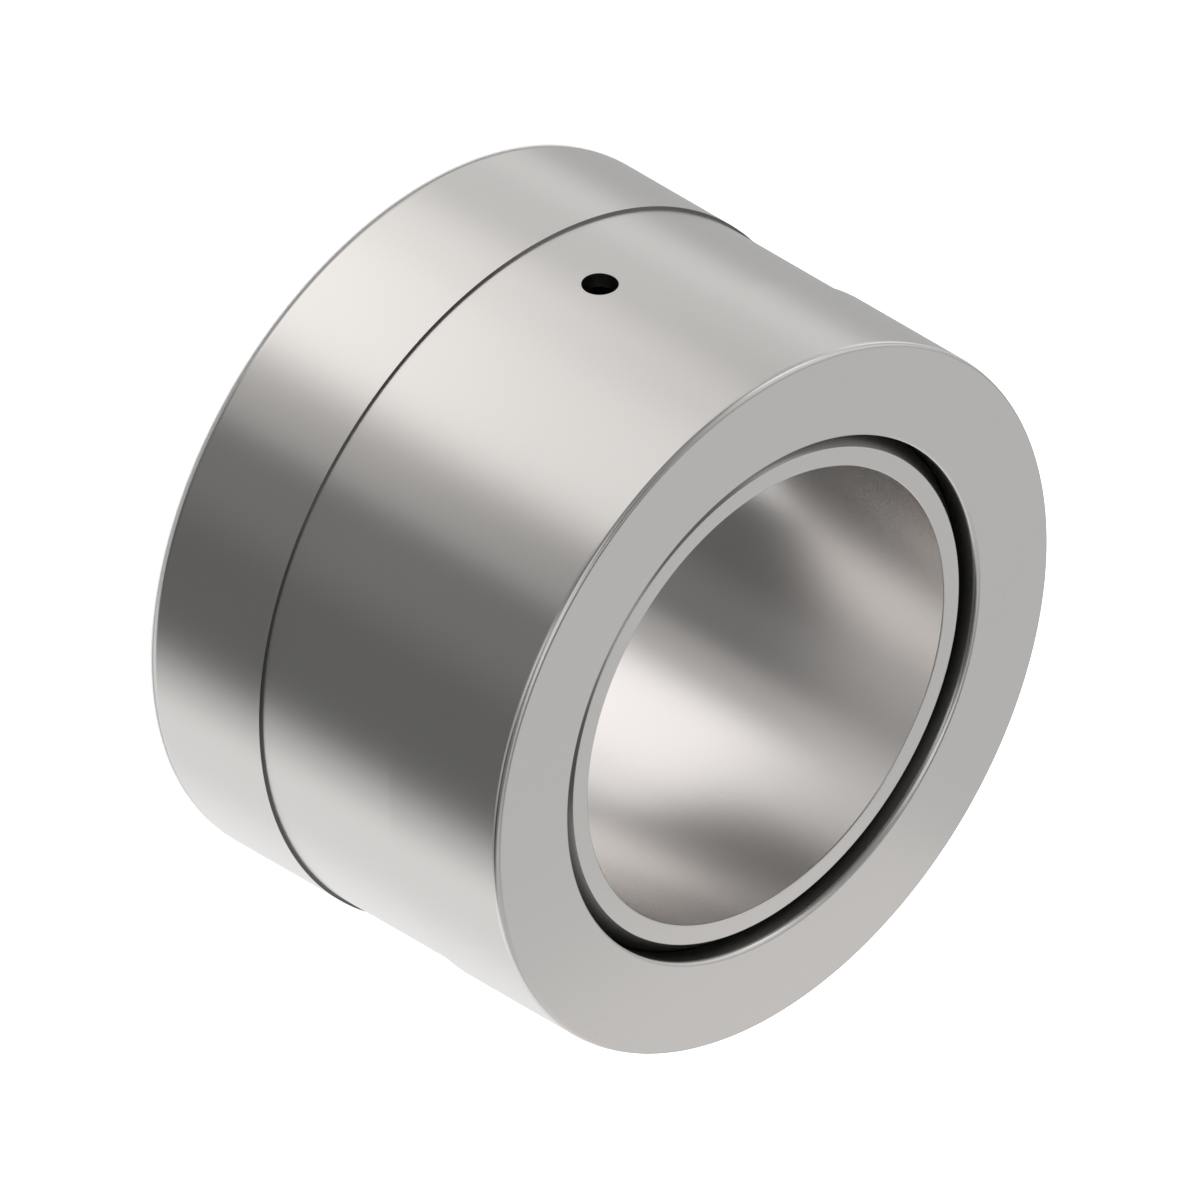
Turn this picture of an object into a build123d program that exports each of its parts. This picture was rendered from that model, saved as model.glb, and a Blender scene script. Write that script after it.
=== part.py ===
from build123d import *
import os
from math import acos, asin, degrees, sqrt

# Self-aligning bushing, in millimetres.
# The outside of the inner ring is part of a sphere. It sits in the spherical seat of a closed outer ring,
# so it can tilt with its shaft and can't come out. The bore runs along Z, the centre of the sphere is the
# origin, and the oil hole points along +X.

# Inner ring
bore_diameter = 40.0
inner_width = 37.3
lip_thickness = 1.68  # from the bore to the edge of the ball, on the end faces
edge_radius = 0.1  # all four sharp edges of the inner ring are broken by this

# Outer ring
ring_recess = 0.85  # each end face of the inner ring lies this far below that of the outer ring
seat_clearance = 0.05  # running clearance between ball and seat, on the radius
outer_wall = 2.352  # from the seat to the outside, for an outside diameter of 62
land_width = 12.2  # the band at each end that the housing grips
relief_depth = 0.25  # the middle is turned down by this much
corner_axial = 0.7  # rounding of the outer corners, along the bore
corner_radial = 0.42  # and towards it
mouth_gap = 1.32  # room between the edge of the ball and the opening
mouth_edge_radius = 0.3

# Oil supply
groove_width = 4.0
groove_depth = 0.8
oil_hole_diameter = 3.0

# The ball is as large as its width and its lips make it.
bore_radius = bore_diameter / 2
half_inner = inner_width / 2
lip_radius = bore_radius + lip_thickness
ball_radius = sqrt(lip_radius**2 + half_inner**2)
lip_angle = degrees(asin(half_inner / ball_radius))

# The outer ring is built outwards from the ball.
half_outer = half_inner + ring_recess
seat_radius = ball_radius + seat_clearance
mouth_radius = lip_radius + mouth_gap
outer_radius = seat_radius + outer_wall
relief_radius = outer_radius - relief_depth
groove_radius = seat_radius + groove_depth
mouth_angle = degrees(acos(mouth_radius / seat_radius))
groove_angle = degrees(asin(groove_width / 2 / seat_radius))

# Inner ring: half of its section, mirrored about the middle and turned round the bore.
with BuildPart() as inner_ring:
    with BuildSketch(Plane.XZ):
        with BuildLine():
            ball_half = CenterArc((0, 0), ball_radius, 0, lip_angle)
            Polyline(
                ball_half @ 1,
                (bore_radius, half_inner),
                (bore_radius, 0),
                ball_half @ 0,
            )
        make_face()
        mirror(about=Plane.XZ)
        corners = vertices().group_by(Axis.Y)
        fillet(corners[0] + corners[-1], radius=edge_radius)
    revolve(axis=Axis.Z)

inner_ring.part.label = "inner_ring"

# Outer ring: half of its section, from the bottom of the oil groove over the seat, the opening and the end
# face to the outer corner, the land and the relief.
with BuildPart() as outer_ring:
    with BuildSketch(Plane.XZ):
        with BuildLine():
            seat_half = CenterArc((0, 0), seat_radius, groove_angle, mouth_angle - groove_angle)
            corner = EllipticalCenterArc(
                (outer_radius - corner_radial, half_outer - corner_axial),
                corner_radial,
                corner_axial,
                start_angle=0,
                arc_size=90,
            )
            Polyline(
                seat_half @ 1,
                (mouth_radius, half_outer),
                corner @ 1,
            )
            Polyline(
                corner @ 0,
                (outer_radius, half_outer - land_width),
                (relief_radius, half_outer - land_width),
                (relief_radius, 0),
                (groove_radius, 0),
                (groove_radius, groove_width / 2),
                seat_half @ 0,
            )
        make_face()
        mirror(about=Plane.XZ)
    revolve(axis=Axis.Z)
    mouth_circles = edges().filter_by(GeomType.CIRCLE).group_by(SortBy.RADIUS)[0].group_by(Axis.Z)
    fillet(mouth_circles[0] + mouth_circles[-1], radius=mouth_edge_radius)
    # The oil hole is drilled inwards from the relief and ends in the groove.
    with Locations(Plane(origin=(relief_radius, 0, 0), z_dir=(1, 0, 0))):
        Hole(radius=oil_hole_diameter / 2, depth=relief_radius - seat_radius)

outer_ring.part.label = "outer_ring"

os.makedirs("parts", exist_ok=True)
export_step(inner_ring.part, "parts/inner_ring.step")
export_step(outer_ring.part, "parts/outer_ring.step")
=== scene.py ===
import logging
from abc import ABC, abstractmethod
from dataclasses import dataclass, field
from enum import Enum, IntEnum
from math import acos, asin, cos, degrees, pi, radians, sin, sqrt
from typing import Callable

import bmesh
import bpy
from mathutils import Matrix, Vector


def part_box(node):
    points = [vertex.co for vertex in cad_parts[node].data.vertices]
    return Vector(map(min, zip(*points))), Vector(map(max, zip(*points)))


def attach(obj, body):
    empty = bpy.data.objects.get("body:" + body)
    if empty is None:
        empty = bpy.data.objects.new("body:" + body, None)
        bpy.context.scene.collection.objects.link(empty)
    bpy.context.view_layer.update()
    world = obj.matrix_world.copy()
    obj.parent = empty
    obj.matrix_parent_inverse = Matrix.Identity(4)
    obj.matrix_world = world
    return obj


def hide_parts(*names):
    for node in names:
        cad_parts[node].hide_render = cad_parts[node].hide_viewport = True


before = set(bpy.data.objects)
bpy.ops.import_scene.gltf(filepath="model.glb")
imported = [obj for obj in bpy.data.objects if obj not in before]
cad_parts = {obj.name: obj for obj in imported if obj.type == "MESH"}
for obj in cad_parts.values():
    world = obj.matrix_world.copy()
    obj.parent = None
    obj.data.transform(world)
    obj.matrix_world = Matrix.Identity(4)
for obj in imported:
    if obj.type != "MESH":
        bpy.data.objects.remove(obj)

# A self-aligning bushing: a bored ball turns in the closed seat of an outer ring.
# Lengths are in metres, in the frame of the solids: the bore along Z, the oil hole along +X.

MM = 0.001
MERGE_DISTANCE = 0.001 * MM
LEAST_SHARE = 1e-6  # keeps the sign of a share that is nothing
SMOOTH_ANGLE = radians(30)  # faces that meet at less than this are shaded as one surface
LARGEST_FACE_WEIGHT = 50
AROUND_BORE = (0.0, 0.0, 1.0)
CENTRE = (0.0, 0.0, 0.0)

PICTURE_PIXELS = 1200
RING_RADIUS_PIXELS = 390.3  # the outer ring's radius in the picture
RING_RADIUS = 31.0 * MM

Colour = tuple[float, float, float]
Socket = bpy.types.NodeSocket
Feed = Socket | float | tuple[float, ...]

log = logging.getLogger("bushing")


class Bend(Enum):
    """The two ways round an arc, as the axis that the pen turns about."""

    RISING = (0.0, 1.0, 0.0)  # from +X towards +Z
    FALLING = (0.0, -1.0, 0.0)


class OuterFinish(IntEnum):
    """The material slots of the outer ring."""

    OUTSIDE = 0
    OPENING = 1
    OILED = 2


class InnerFinish(IntEnum):
    """The material slots of the inner ring."""

    END = 0
    BALL = 1
    BORE = 2


def deselect_all() -> None:
    """Leaves nothing selected, so that the next operator acts on its own piece alone."""
    if bpy.context.object and bpy.context.object.mode != "OBJECT":
        bpy.ops.object.mode_set(mode="OBJECT")
    bpy.ops.object.select_all(action="DESELECT")


def make_active(piece: bpy.types.Object) -> None:
    """Selects one piece alone, for the operators that follow.

    Args:
        piece: The piece.
    """
    deselect_all()
    piece.select_set(True)
    bpy.context.view_layer.objects.active = piece


def select_vertices(piece: bpy.types.Object, wanted: Callable[[Vector], bool]) -> None:
    """Selects the vertices of a piece in edit mode by their place.

    Args:
        piece: The piece in edit mode.
        wanted: Says of a vertex's place whether it is to be selected.
    """
    bpy.ops.mesh.select_mode(type="VERT")
    mesh = bmesh.from_edit_mesh(piece.data)
    for vertex in mesh.verts:
        vertex.select_set(wanted(vertex.co))
    mesh.select_flush_mode()
    bmesh.update_edit_mesh(piece.data)


class SectionPen:
    """Draws the upper half of a ring's section in the XZ plane as one chain of edges."""

    def __init__(self, name: str, r: float, z: float) -> None:
        """Puts the first point down.

        Args:
            name: The name of the piece.
            r: Distance of the point from the bore's axis.
            z: Height of the point.
        """
        deselect_all()
        bpy.ops.mesh.primitive_plane_add(size=MM, location=CENTRE)
        self.piece = bpy.context.object
        self.piece.name = name
        self.piece.data.name = name
        bpy.ops.object.mode_set(mode="EDIT")
        bpy.ops.mesh.select_all(action="SELECT")
        bpy.ops.mesh.merge(type="CENTER")
        bpy.ops.transform.translate(value=(r, 0, z))
        self.r = r
        self.z = z

    def line_to(self, r: float, z: float) -> None:
        """Draws a straight edge.

        Args:
            r: Distance of its end from the bore's axis.
            z: Height of its end.
        """
        bpy.ops.mesh.extrude_region_move(
            TRANSFORM_OT_translate={"value": (r - self.r, 0, z - self.z)}
        )
        self.r = r
        self.z = z

    def arc(self, centre: tuple[float, float], angle: float, steps: int, bend: Bend) -> None:
        """Draws an arc by spinning the pen's point.

        Args:
            centre: Distance from the bore's axis and height of the arc's centre.
            angle: Angle of the arc, in radians.
            steps: Number of edges.
            bend: The way round.
        """
        bpy.ops.mesh.spin(
            steps=steps,
            angle=angle,
            center=(centre[0], 0, centre[1]),
            axis=bend.value,
            use_auto_merge=False,
        )
        out_r = self.r - centre[0]
        out_z = self.z - centre[1]
        turn = angle if bend is Bend.RISING else -angle
        self.r = centre[0] + out_r * cos(turn) - out_z * sin(turn)
        self.z = centre[1] + out_r * sin(turn) + out_z * cos(turn)

    def stretch(self, above: float, centre: tuple[float, float], ratio: float) -> None:
        """Stretches what is drawn above a height, which makes an oval corner of a round one.

        Args:
            above: The height from which points move.
            centre: Distance from the bore's axis and height of the point that stays.
            ratio: Stretch along the bore.
        """
        select_vertices(self.piece, lambda place: place.z > above)
        bpy.ops.transform.resize(
            value=(1, 1, ratio), center_override=(centre[0], 0, centre[1])
        )
        self.z = centre[1] + (self.z - centre[1]) * ratio
        end = Vector((self.r, 0, self.z))
        select_vertices(self.piece, lambda place: (place - end).length < MERGE_DISTANCE)

    def turned(self, steps: int) -> bpy.types.Object:
        """Mirrors the half section about the middle and spins it round the bore.

        Args:
            steps: Number of faces round the bore.

        Returns:
            The closed ring, in object mode.
        """
        bpy.ops.mesh.select_all(action="SELECT")
        bpy.ops.mesh.duplicate()
        bpy.ops.transform.resize(value=(1, 1, -1), center_override=CENTRE)
        bpy.ops.mesh.select_all(action="SELECT")
        bpy.ops.mesh.remove_doubles(threshold=MERGE_DISTANCE)
        bpy.ops.mesh.spin(steps=steps, angle=2 * pi, center=CENTRE, axis=AROUND_BORE)
        bpy.ops.mesh.select_all(action="SELECT")
        bpy.ops.mesh.remove_doubles(threshold=MERGE_DISTANCE)
        bpy.ops.mesh.normals_make_consistent(inside=False)
        bpy.ops.object.mode_set(mode="OBJECT")
        return self.piece


class NodeBench:
    """Adds nodes to a node tree and joins them."""

    def __init__(self, tree: bpy.types.NodeTree) -> None:
        """Takes the tree to work on."""
        self.nodes = tree.nodes
        self.join = tree.links.new

    def feed(self, socket: Socket, value: Feed) -> None:
        """Joins a result to an input, or sets the input to a constant.

        Args:
            socket: The input.
            value: The result or the constant.
        """
        if isinstance(value, Socket):
            self.join(value, socket)
        else:
            socket.default_value = value

    def add(self, kind: str, *values: Feed, **settings: str) -> bpy.types.Node:
        """Adds a node.

        Args:
            kind: The node's type.
            values: What goes into its first inputs.
            settings: Its properties.

        Returns:
            The node.
        """
        node = self.nodes.new(kind)
        for name, choice in settings.items():
            setattr(node, name, choice)
        for socket, value in zip(node.inputs, values):
            self.feed(socket, value)
        return node

    def maths(self, operation: str, *values: Feed) -> Socket:
        """Adds a Math node.

        Args:
            operation: What the node does.
            values: What goes into it.

        Returns:
            Its result.
        """
        return self.add("ShaderNodeMath", *values, operation=operation).outputs[0]

    def ramp(
        self,
        value: Socket,
        start: tuple[float, float],
        end: tuple[float, float],
        interpolation_type: str = "LINEAR",
    ) -> Socket:
        """Turns one value into another that runs between two limits.

        Args:
            value: The value.
            start: The value and the result at one end of the ramp.
            end: The value and the result at the other end.
            interpolation_type: The shape of the ramp.

        Returns:
            The result.
        """
        node = self.add("ShaderNodeMapRange", value, interpolation_type=interpolation_type)
        for name, number in zip(("From Min", "To Min", "From Max", "To Max"), (*start, *end)):
            node.inputs[name].default_value = number
        return node.outputs[0]

    def blend(self, share: Socket, low: Feed, high: Feed) -> Socket:
        """Blends two colours.

        Args:
            share: The share of the second colour.
            low: The first colour.
            high: The second colour.

        Returns:
            The blend.
        """
        node = self.add("ShaderNodeMix", data_type="RGBA")
        for name, value in (("Factor", share), ("A", low), ("B", high)):
            self.feed(node.inputs[name], value)
        return node.outputs["Result"]


@dataclass(frozen=True, kw_only=True)
class GroundSteel:
    """Bearing steel with the fine lines that turning and grinding leave round the bore."""

    name: str
    colour: Colour
    roughness: float
    roughness_spread: float
    patch_tone: float = 0.985  # the darkest patches, as a share of the colour
    patch_waves: float = 90.0  # in a metre
    line_pitch: float = 0.15 * MM
    line_depth: float = 0.0001 * MM
    line_waves_round: float = 6.0  # in a metre round the bore

    def material(self) -> bpy.types.Material:
        """Builds the node material.

        Returns:
            The material, whose pattern follows the Object coordinates.
        """
        material = bpy.data.materials.new(self.name)
        material.use_nodes = True
        bench = NodeBench(material.node_tree)
        shader = bench.nodes["Principled BSDF"]
        shader.inputs["Metallic"].default_value = 1.0

        place = bench.add("ShaderNodeTexCoord").outputs["Object"]
        x, y, height = bench.add("ShaderNodeSeparateXYZ", place).outputs
        flat = bench.add("ShaderNodeCombineXYZ", x, y).outputs[0]
        radius = bench.add("ShaderNodeVectorMath", flat, operation="LENGTH").outputs["Value"]

        def noise(across: float, along: float) -> Socket:
            """Adds a noise that can be drawn out round the bore.

            Args:
                across: Waves in a metre along the bore and outwards from it.
                along: Waves in a metre round the bore.

            Returns:
                The noise, from 0 to 1.
            """
            outward = bench.maths("MULTIPLY", radius, across)
            spot = bench.add(
                "ShaderNodeCombineXYZ",
                bench.maths("MULTIPLY", x, along),
                bench.maths("MULTIPLY", y, along),
                bench.maths("MULTIPLY_ADD", height, across, outward),
            )
            texture = bench.add("ShaderNodeTexNoise", spot.outputs[0])
            texture.inputs["Scale"].default_value = 1.0
            texture.inputs["Detail"].default_value = 1.0
            return texture.outputs["Fac"]

        lines = noise(1 / self.line_pitch, self.line_waves_round)
        clouds = noise(self.patch_waves, self.patch_waves)
        bench.join(self.tone(bench, clouds, height), shader.inputs["Base Color"])

        smooth = self.roughness - self.roughness_spread
        rough = self.roughness + self.roughness_spread
        bench.join(bench.ramp(clouds, (0.0, smooth), (1.0, rough)), shader.inputs["Roughness"])

        bump = bench.add("ShaderNodeBump")
        bump.inputs["Distance"].default_value = self.line_depth
        bench.join(lines, bump.inputs["Height"])
        bench.join(bump.outputs[0], shader.inputs["Normal"])
        return material

    def tone(self, bench: NodeBench, clouds: Socket, height: Socket) -> Socket:
        """Adds the colour, which is a little darker in broad patches.

        Args:
            bench: The material's nodes.
            clouds: The noise of the patches.
            height: The place's height along the bore.

        Returns:
            The colour.
        """
        patch = (self.patch_tone * part for part in self.colour)
        return bench.blend(clouds, (*patch, 1.0), (*self.colour, 1.0))


@dataclass(frozen=True, kw_only=True)
class DepthShadedSteel(GroundSteel):
    """Steel with painted shade: darkest deep in the ring, lighter towards its ends."""

    mouth_shade_colour: Colour
    shade_fade_start: float
    shade_fade_end: float

    def tone(self, bench: NodeBench, clouds: Socket, height: Socket) -> Socket:
        """Adds the colour with its painted shade, which lightens with the distance from the middle
        of the ring.

        Args:
            bench: The material's nodes.
            clouds: The noise of the patches.
            height: The place's height along the bore.

        Returns:
            The colour.
        """
        dark = super().tone(bench, clouds, height)
        distance = bench.maths("ABSOLUTE", height)
        share = bench.ramp(distance, (self.shade_fade_start, 0.0), (self.shade_fade_end, 1.0))
        return bench.blend(share, dark, (*self.mouth_shade_colour, 1.0))


class TurnedRing(ABC):
    """A ring that is modelled from its section and gets its finish face by face."""

    @abstractmethod
    def build(self) -> bpy.types.Object:
        """Models the ring and returns the finished mesh."""

    @abstractmethod
    def finish_of(self, face: bpy.types.MeshPolygon) -> int:
        """Returns the material slot of a face."""

    def dress(self, ring: bpy.types.Object, finishes: tuple[GroundSteel, ...]) -> None:
        """Gives each face of the ring its finish.

        Args:
            ring: The modelled ring.
            finishes: The finishes in the order of the ring's material slots.
        """
        for finish in finishes:
            ring.data.materials.append(finish.material())
        for face in ring.data.polygons:
            face.material_index = self.finish_of(face)

    @staticmethod
    def shade(ring: bpy.types.Object) -> None:
        """Shades tangent faces smooth, each with the slope of the largest face beside it.

        Args:
            ring: The modelled ring.
        """
        make_active(ring)
        bpy.ops.object.shade_smooth_by_angle(angle=SMOOTH_ANGLE)
        bpy.ops.object.modifier_add(type="WEIGHTED_NORMAL")
        modifier = ring.modifiers[-1]
        modifier.mode = "FACE_AREA"
        modifier.weight = LARGEST_FACE_WEIGHT
        modifier.keep_sharp = True
        bpy.ops.object.modifier_apply(modifier=modifier.name)


@dataclass
class InnerRing(TurnedRing):
    """The ring on the shaft: its outside is part of a sphere."""

    faces_round: int = 360
    bore_radius: float = 20.0 * MM
    edge_radius: float = 0.1 * MM
    bright_edge_on_ball: float = 0.2  # how much of the broken edge has the end's colour; the rest has the ball's painted shade
    bright_edge_in_bore: float = 0.5
    ball_steps: int = 28
    edge_steps: int = 3
    ball_radius: float = field(init=False)
    half_width: float = field(init=False)

    def __post_init__(self) -> None:
        """Takes the ball's radius and the width from the solid."""
        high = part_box("inner_ring")[1]
        self.ball_radius = high.x
        self.half_width = high.z

    def build(self) -> bpy.types.Object:
        """Models the ring.

        Returns:
            The finished mesh.
        """
        ball_radius = self.ball_radius
        edge = self.edge_radius
        lip_height = self.half_width - edge
        edge_centre_r = sqrt((ball_radius - edge) ** 2 - lip_height**2)
        ball_angle = asin(lip_height / (ball_radius - edge))
        pen = SectionPen("inner_ring_steel_body", ball_radius, 0)
        pen.arc((0, 0), ball_angle, self.ball_steps, Bend.RISING)
        pen.arc((edge_centre_r, lip_height), pi / 2 - ball_angle, self.edge_steps, Bend.RISING)
        pen.line_to(self.bore_radius + edge, self.half_width)
        pen.arc((self.bore_radius + edge, lip_height), pi / 2, self.edge_steps, Bend.RISING)
        pen.line_to(self.bore_radius, 0)
        ring = pen.turned(self.faces_round)
        self.shade(ring)
        return ring

    def finish_of(self, face: bpy.types.MeshPolygon) -> InnerFinish:
        """Says which finish a face has.

        Args:
            face: A face of the ring.

        Returns:
            The end's finish on the ends and the upper part of each broken edge, the ball's painted
            shade on the ball and the lower part, and the bore's in the bore.
        """
        below_end = self.half_width - abs(face.center.z)
        if face.center.length > self.ball_radius - self.edge_radius:
            on_end = below_end <= self.bright_edge_on_ball * self.edge_radius
            return InnerFinish.END if on_end else InnerFinish.BALL
        if below_end < self.bright_edge_in_bore * self.edge_radius:
            return InnerFinish.END
        # The rest of the bore's broken edge gets the ball's painted shade, a thin dark line.
        return InnerFinish.BORE if below_end > self.edge_radius else InnerFinish.BALL


@dataclass
class OuterRing(TurnedRing):
    """The ring in the housing: it closes round the ball and carries the oil hole."""

    faces_round: int = 360
    seat_clearance: float = 0.05 * MM
    land_width: float = 12.2 * MM
    relief_depth: float = 0.25 * MM
    corner_axial: float = 0.7 * MM
    corner_radial: float = 0.42 * MM
    edge_weight: float = 0.7  # what the way across an edge counts beside the way down it
    mouth_radius: float = 23.0 * MM
    mouth_edge_radius: float = 0.3 * MM
    mouth_edge_depth: float = 0.6 * MM
    groove_width: float = 4.0 * MM
    groove_depth: float = 0.8 * MM
    oil_hole_radius: float = 1.5 * MM
    oil_hole_faces: int = 96
    drill_overrun: float = 1.0 * MM
    least_wall: float = 1.0 * MM  # what lies this far outside the groove is the outside
    shoulder_slope: float = 0.9  # the least upward part of a shoulder's normal
    seat_steps: int = 20
    corner_steps: int = 10
    mouth_edge_steps: int = 6
    outer_radius: float = field(init=False)
    half_width: float = field(init=False)
    seat_radius: float = field(init=False)

    def __post_init__(self) -> None:
        """Takes the outside from the solid, and the seat from the ball."""
        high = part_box("outer_ring")[1]
        self.outer_radius = high.x
        self.half_width = high.z
        self.seat_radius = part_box("inner_ring")[1].x + self.seat_clearance

    def build(self) -> bpy.types.Object:
        """Models the ring.

        Returns:
            The finished mesh.
        """
        relief_radius = self.outer_radius - self.relief_depth
        shoulder = self.half_width - self.land_width
        corner = (self.outer_radius - self.corner_radial, self.half_width - self.corner_axial)
        mouth_edge = self.mouth_edge_radius
        mouth_corner = (self.mouth_radius + mouth_edge, self.half_width - mouth_edge)
        groove_half = self.groove_width / 2
        groove_radius = self.seat_radius + self.groove_depth
        mouth_angle = acos(self.mouth_radius / self.seat_radius)
        groove_angle = asin(groove_half / self.seat_radius)

        pen = SectionPen("outer_ring_steel_body", relief_radius, 0)
        pen.line_to(relief_radius, shoulder)
        pen.line_to(self.outer_radius, shoulder)
        pen.line_to(self.outer_radius, corner[1])
        pen.arc(corner, pi / 2, self.corner_steps, Bend.RISING)
        pen.stretch(corner[1] + MERGE_DISTANCE, corner, self.corner_axial / self.corner_radial)
        pen.line_to(mouth_corner[0], self.half_width)
        pen.arc(mouth_corner, pi / 2, self.mouth_edge_steps, Bend.RISING)
        pen.line_to(self.mouth_radius, self.half_width - self.mouth_edge_depth)
        pen.line_to(self.mouth_radius, self.seat_radius * sin(mouth_angle))
        pen.arc((0, 0), mouth_angle - groove_angle, self.seat_steps, Bend.FALLING)
        pen.line_to(groove_radius, groove_half)
        pen.line_to(groove_radius, 0)
        ring = pen.turned(self.faces_round)
        self.drill_oil_hole(ring)
        self.shade(ring)
        self.soften_edges(ring)
        return ring

    def finish_of(self, face: bpy.types.MeshPolygon) -> OuterFinish:
        """Says which finish a face has.

        Args:
            face: A face of the ring.

        Returns:
            The outside's finish on the ends, corners, lands and relief, the opening's painted shade
            in the openings, and a darker painted shade in the seat, in the oil way and on the
            shoulders.
        """
        place = face.center
        if abs(place.z) > self.half_width - self.mouth_edge_depth:
            return OuterFinish.OUTSIDE
        radius = Vector((place.x, place.y)).length
        if radius < self.mouth_radius + MERGE_DISTANCE:
            return OuterFinish.OPENING
        # The oil hole, the groove, the seat and the steps' shoulders get the dark painted shade.
        in_hole = place.x > 0 and Vector((place.y, place.z)).length < self.oil_hole_radius
        outside = radius > self.seat_radius + self.groove_depth + self.least_wall
        on_shoulder = abs(face.normal.z) > self.shoulder_slope
        if outside and not in_hole and not on_shoulder:
            return OuterFinish.OUTSIDE
        return OuterFinish.OILED

    def soften_edges(self, ring: bpy.types.Object) -> None:
        """Lets the shading turn evenly over the outer corners and over the edges of the openings.

        Args:
            ring: The shaded ring.
        """
        mesh = ring.data
        normals = [normal.vector.copy() for normal in mesh.corner_normals]
        for loop in mesh.loops:
            place = mesh.vertices[loop.vertex_index].co
            outward = Vector((place.x, place.y, 0))
            share = self.edge_share(outward.length, abs(place.z))
            if share is None:
                continue
            side = outward.normalized() * (1 if share > 0 else -1)
            end = Vector((0, 0, 1 if place.z > 0 else -1))
            normals[loop.index] = (side * abs(share) + end * (1 - abs(share))).normalized()
        mesh.normals_split_custom_set(normals)

    def edge_share(self, radius: float, height: float) -> float | None:
        """Says how far round an edge a place lies.

        Args:
            radius: Distance of the place from the bore's axis.
            height: Its height above the middle of the ring.

        Returns:
            0 on the end face, up to 1 on the land and to -1 on the opening's wall, and None away
            from the edges.
        """
        corner_start = self.outer_radius - self.corner_radial
        mouth_start = self.mouth_radius + self.mouth_edge_radius
        if radius > corner_start - MERGE_DISTANCE:
            down, out, way = self.corner_axial, self.corner_radial, 1
            across = radius - corner_start
        elif radius < mouth_start + MERGE_DISTANCE:
            down, out, way = self.mouth_edge_depth, self.mouth_edge_radius, -1
            across = mouth_start - radius
        else:
            return None
        below = self.half_width - height
        if below > down + MERGE_DISTANCE:
            return None
        share = (below + self.edge_weight * across) / (down + self.edge_weight * out)
        return way * max(min(share, 1.0), LEAST_SHARE)

    def drill_oil_hole(self, ring: bpy.types.Object) -> None:
        """Cuts the oil hole from the relief into the groove.

        Args:
            ring: The ring to drill.
        """
        start = self.seat_radius
        end = self.outer_radius + self.drill_overrun
        deselect_all()
        bpy.ops.mesh.primitive_cylinder_add(
            vertices=self.oil_hole_faces,
            radius=self.oil_hole_radius,
            depth=end - start,
            location=((start + end) / 2, 0, 0),
            rotation=(0, pi / 2, 0),
        )
        drill = bpy.context.object
        make_active(ring)
        bpy.ops.object.modifier_add(type="BOOLEAN")
        cut = ring.modifiers[-1]
        cut.operation = "DIFFERENCE"
        cut.solver = "EXACT"
        cut.object = drill
        bpy.ops.object.modifier_apply(modifier=cut.name)
        bpy.data.objects.remove(drill)


class Tint(Enum):
    """The colours of the studio's lights."""

    NEUTRAL = (1.0, 1.0, 1.0)
    WARM = (1.027, 1.0, 0.99)
    ROSE = (1.16, 1.0, 0.96)


@dataclass(frozen=True)
class SoftPanel:
    """A large soft light, far away: a patch of the sky round the object, in degrees."""

    azimuth: float
    half_width: float
    level: float
    tint: Tint = Tint.NEUTRAL
    elevation: float = -45.0
    half_height: float = 45.0
    softness: float = 8.0

    def light(self, bench: NodeBench, azimuth: Socket, elevation: Socket) -> Socket:
        """Adds the panel to a sky.

        Args:
            bench: The sky's nodes.
            azimuth: Azimuth of the way looked at, in degrees.
            elevation: Its elevation, in degrees.

        Returns:
            The panel's light from that way.
        """
        aside = bench.maths("SUBTRACT", azimuth, self.azimuth)
        aside = bench.maths("ABSOLUTE", bench.maths("WRAP", aside, 180.0, -180.0))
        above = bench.maths("ABSOLUTE", bench.maths("SUBTRACT", elevation, self.elevation))
        shares = (
            bench.ramp(off, (half - self.softness, 1.0), (half + self.softness, 0.0), "SMOOTHSTEP")
            for off, half in ((aside, self.half_width), (above, self.half_height))
        )
        colour = tuple(self.level * part for part in self.tint.value)
        light = bench.add("ShaderNodeVectorMath", colour, operation="SCALE")
        bench.join(bench.maths("MULTIPLY", *shares), light.inputs["Scale"])
        return light.outputs[0]


@dataclass(frozen=True)
class Softbox:
    """A flat light beside the object, square to X."""

    name: str
    x: float
    y: tuple[float, float]
    z: tuple[float, float]
    level: float
    tint: Tint = Tint.NEUTRAL

    def build(self) -> None:
        """Hangs the light up, facing the object."""
        wide = self.y[1] - self.y[0]
        high = self.z[1] - self.z[0]
        facing = pi / 2 if self.x > 0 else -pi / 2
        bpy.ops.object.light_add(
            type="AREA",
            location=(self.x, sum(self.y) / 2, sum(self.z) / 2),
            rotation=(0, facing, 0),
        )
        lamp = bpy.context.object
        lamp.name = self.name
        lamp.data.shape = "RECTANGLE"
        lamp.data.size = high
        lamp.data.size_y = wide
        lamp.data.color = self.tint.value
        lamp.data.energy = self.level * pi * wide * high
        lamp.visible_camera = False


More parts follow.
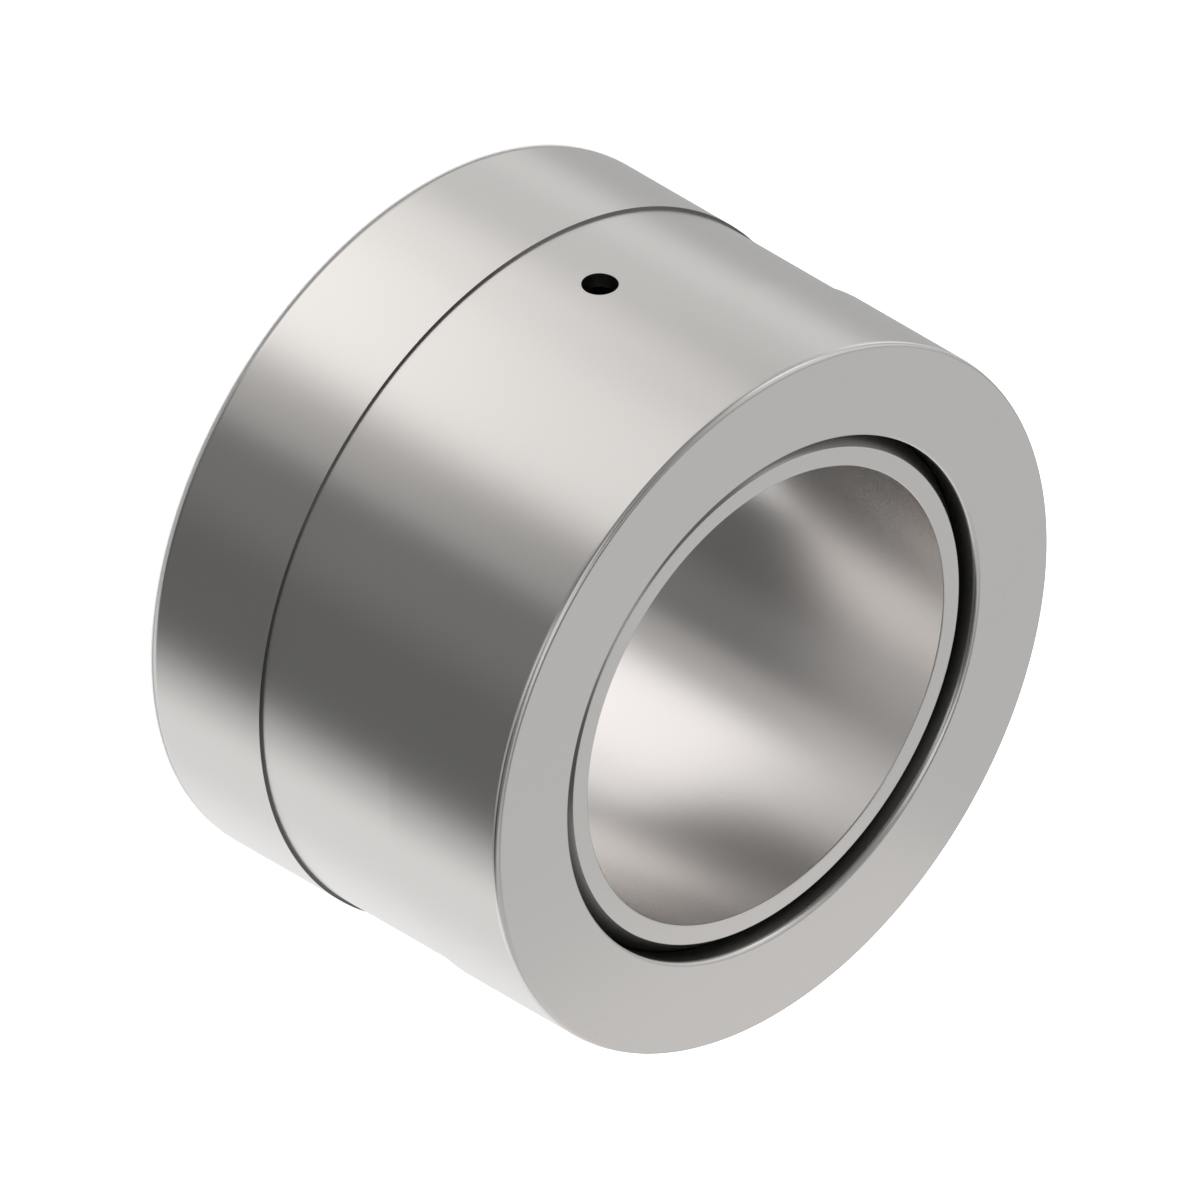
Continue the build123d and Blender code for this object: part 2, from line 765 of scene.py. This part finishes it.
@dataclass(frozen=True)
class Studio:
    """The light, the floor and the camera."""

    panels: tuple[SoftPanel, ...]
    softboxes: tuple[Softbox, ...]
    floor_size: float = 4.0
    floor_tone: float = 0.9
    floor_roughness: float = 0.9
    overhead_height: float = 1.0
    overhead_size: float = 1.6
    overhead_energy: float = 26.0
    picture_width: float = PICTURE_PIXELS / RING_RADIUS_PIXELS * RING_RADIUS
    camera_distance: float = 0.3
    nearest_seen: float = 0.01
    farthest_seen: float = 10.0

    def build(self) -> None:
        """Makes everything round the object."""
        self.build_sky()
        for softbox in self.softboxes:
            softbox.build()
        self.build_floor()
        self.build_overhead()
        self.build_camera()

    def build_sky(self) -> None:
        """Makes the world: soft panels in the dark, and white where the camera sees past them."""
        world = bpy.data.worlds.new("studio")
        bpy.context.scene.world = world
        world.cycles.sampling_method = "NONE"
        world.use_nodes = True
        bench = NodeBench(world.node_tree)
        bench.nodes.clear()
        way = bench.add("ShaderNodeTexCoord").outputs["Generated"]
        x, y, z = bench.add("ShaderNodeSeparateXYZ", way).outputs
        azimuth = bench.maths("MULTIPLY", bench.maths("ARCTAN2", y, x), degrees(1))
        elevation = bench.maths("MULTIPLY", bench.maths("ARCSINE", z), degrees(1))
        total, *others = (panel.light(bench, azimuth, elevation) for panel in self.panels)
        for light in others:
            total = bench.add("ShaderNodeVectorMath", total, light, operation="ADD").outputs[0]
        glow = bench.add("ShaderNodeBackground", total)
        white = bench.add("ShaderNodeBackground", (1.0, 1.0, 1.0, 1.0))
        seen = bench.add("ShaderNodeLightPath").outputs["Is Camera Ray"]
        chosen = bench.add("ShaderNodeMixShader", seen, glow.outputs[0], white.outputs[0])
        bench.add("ShaderNodeOutputWorld", chosen.outputs[0])

    def build_floor(self) -> None:
        """Makes the pale floor on which the bushing stands on end."""
        deselect_all()
        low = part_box("outer_ring")[0]
        bpy.ops.mesh.primitive_plane_add(size=self.floor_size, location=(0, 0, low.z))
        floor = bpy.context.object
        floor.name = "floor"
        bpy.ops.object.transform_apply(location=True)
        material = bpy.data.materials.new("pale_floor")
        material.use_nodes = True
        shader = material.node_tree.nodes["Principled BSDF"]
        shader.inputs["Base Color"].default_value = (*(self.floor_tone,) * 3, 1.0)
        shader.inputs["Roughness"].default_value = self.floor_roughness
        shader.inputs["Specular IOR Level"].default_value = 0.0
        floor.data.materials.append(material)
        floor.visible_glossy = False
        floor.visible_shadow = False

    def build_overhead(self) -> None:
        """Hangs a broad light above the floor, which the steel doesn't reflect."""
        bpy.ops.object.light_add(type="AREA", location=(0, 0, self.overhead_height))
        lamp = bpy.context.object
        lamp.name = "overhead_softbox"
        lamp.data.shape = "DISK"
        lamp.data.size = self.overhead_size
        lamp.data.energy = self.overhead_energy
        lamp.visible_glossy = False

    def build_camera(self) -> None:
        """Looks along the diagonal of the axes, with the oil hole's axis upright in the picture."""
        back = Vector((1, 1, 1)).normalized()
        up = Vector((1, 0, 0))
        across = up.cross(back).normalized()
        upright = back.cross(across)
        data = bpy.data.cameras.new("camera")
        data.type = "ORTHO"
        data.ortho_scale = self.picture_width
        data.clip_start = self.nearest_seen
        data.clip_end = self.farthest_seen
        camera = bpy.data.objects.new("camera", data)
        turn = Matrix((across, upright, back)).transposed()
        camera.matrix_world = Matrix.Translation(back * self.camera_distance) @ turn.to_4x4()
        bpy.context.scene.collection.objects.link(camera)
        bpy.context.scene.camera = camera


GROUND_COLOUR = (0.711, 0.70, 0.681)
# The colour of painted shade in the opening, the seat, the oil way, the oil hole and on the
# shoulders.
DARK_COLOUR = (0.19, 0.188, 0.184)

OUTER_STEEL = GroundSteel(
    name="outer_ring_ground_steel",
    colour=GROUND_COLOUR,
    roughness=0.27,
    roughness_spread=0.008,
)
# Painted shade: the opening's wall is dark deep inside and lighter near the mouth.
OPENING_STEEL = DepthShadedSteel(
    name="outer_ring_opening_painted_shade",
    colour=DARK_COLOUR,
    roughness=0.27,
    roughness_spread=0.02,
    mouth_shade_colour=(0.48, 0.475, 0.465),
    shade_fade_start=17.7 * MM,
    shade_fade_end=18.9 * MM,
)
# Painted shade for the seat, the oil way, the oil hole and the shoulders of the steps.
SEAT_STEEL = GroundSteel(
    name="outer_ring_seat_painted_shade",
    colour=DARK_COLOUR,
    roughness=0.35,
    roughness_spread=0.03,
)
INNER_STEEL = GroundSteel(
    name="inner_ring_ground_steel",
    colour=GROUND_COLOUR,
    roughness=0.27,
    roughness_spread=0.008,
)
# Painted shade: the ball is darkened so that the gap round it falls dark.
BALL_STEEL = GroundSteel(
    name="inner_ring_ball_painted_shade",
    colour=(0.33, 0.327, 0.32),
    roughness=0.27,
    roughness_spread=0.02,
)
BORE_STEEL = GroundSteel(
    name="inner_ring_honed_steel",
    colour=(0.743, 0.725, 0.710),
    roughness=0.27,
    roughness_spread=0.008,
)

STUDIO = Studio(
    panels=(
        # Round the object and below it, as the outside and the bore show them.
        SoftPanel(-96, 36, 0.49),
        SoftPanel(-72, 12, 0.35),
        SoftPanel(-48, 12, 0.31),
        SoftPanel(-3, 34, 0.72, Tint.WARM),
        SoftPanel(8, 24, 0.19, Tint.WARM),
        SoftPanel(84, 48, 0.08),
        SoftPanel(72, 12, 0.10),
        SoftPanel(141, 12, 0.14),
        SoftPanel(180, 48, 0.55),
        SoftPanel(204, 24, 0.12),
        # Level with it and above it, as the end faces, the gap and the edges show them.
        SoftPanel(225, 22, 0.72, elevation=35, half_height=12),
        SoftPanel(160, 90, 1.00, elevation=83, half_height=13),
        SoftPanel(60, 35, 0.60, elevation=69, half_height=20),
        SoftPanel(250, 12, 0.33, elevation=76, half_height=30),
        SoftPanel(340, 90, 0.29, elevation=41, half_height=30),
        SoftPanel(290, 35, 0.54, elevation=41, half_height=20),
        SoftPanel(170, 35, 0.58, elevation=34, half_height=30),
        SoftPanel(100, 20, 0.16, elevation=41, half_height=20),
        SoftPanel(48, 20, 0.40, elevation=46, half_height=8),
        SoftPanel(112, 16, 0.12, elevation=34, half_height=8),
        SoftPanel(320, 12, 1.30, elevation=20, half_height=8),
        SoftPanel(70, 12, 0.90, elevation=6, half_height=13),
        SoftPanel(230, 90, 0.38, elevation=0, half_height=20),
        SoftPanel(90, 90, 0.30, elevation=-15, half_height=8),
        SoftPanel(100, 12, 0.25, elevation=-15, half_height=13),
    ),
    softboxes=(
        Softbox("ceiling_softbox", 0.15, (-0.20, 0.20), (-0.30, -0.09), 0.39, Tint.WARM),
        Softbox("low_softbox", -0.10, (-0.15, 0.10), (-0.20, -0.02), 0.33),
        Softbox("front_card", -0.045, (-0.04, 0.02), (0.025, 0.05), 0.12, Tint.ROSE),
    ),
)


@dataclass(frozen=True)
class Fitting:
    """Which solid a modelled ring stands for, and what it moves with."""

    node: str
    body: str
    slot: str


def hand_over(piece: bpy.types.Object, fitting: Fitting) -> None:
    """Gives a finished ring its place in the frame.

    Args:
        piece: The ring.
        fitting: What it stands for and moves with.
    """
    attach(piece, fitting.body)
    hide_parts(fitting.node)
    log.info("%s: %d faces", piece.name, len(piece.data.polygons))


def main() -> None:
    """Models both rings, dresses them and builds the studio."""
    logging.basicConfig(level=logging.INFO, format="%(message)s")
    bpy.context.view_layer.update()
    outer_ring = OuterRing()
    outer = outer_ring.build()
    outer_ring.dress(outer, (OUTER_STEEL, OPENING_STEEL, SEAT_STEEL))
    hand_over(outer, Fitting("outer_ring", "outer", "outer_ring_steel"))
    inner_ring = InnerRing()
    inner = inner_ring.build()
    inner_ring.dress(inner, (INNER_STEEL, BALL_STEEL, BORE_STEEL))
    hand_over(inner, Fitting("inner_ring", "inner", "inner_ring_steel"))
    STUDIO.build()
    bpy.context.scene.view_settings.view_transform = "Standard"


if __name__ == "__main__":
    main()
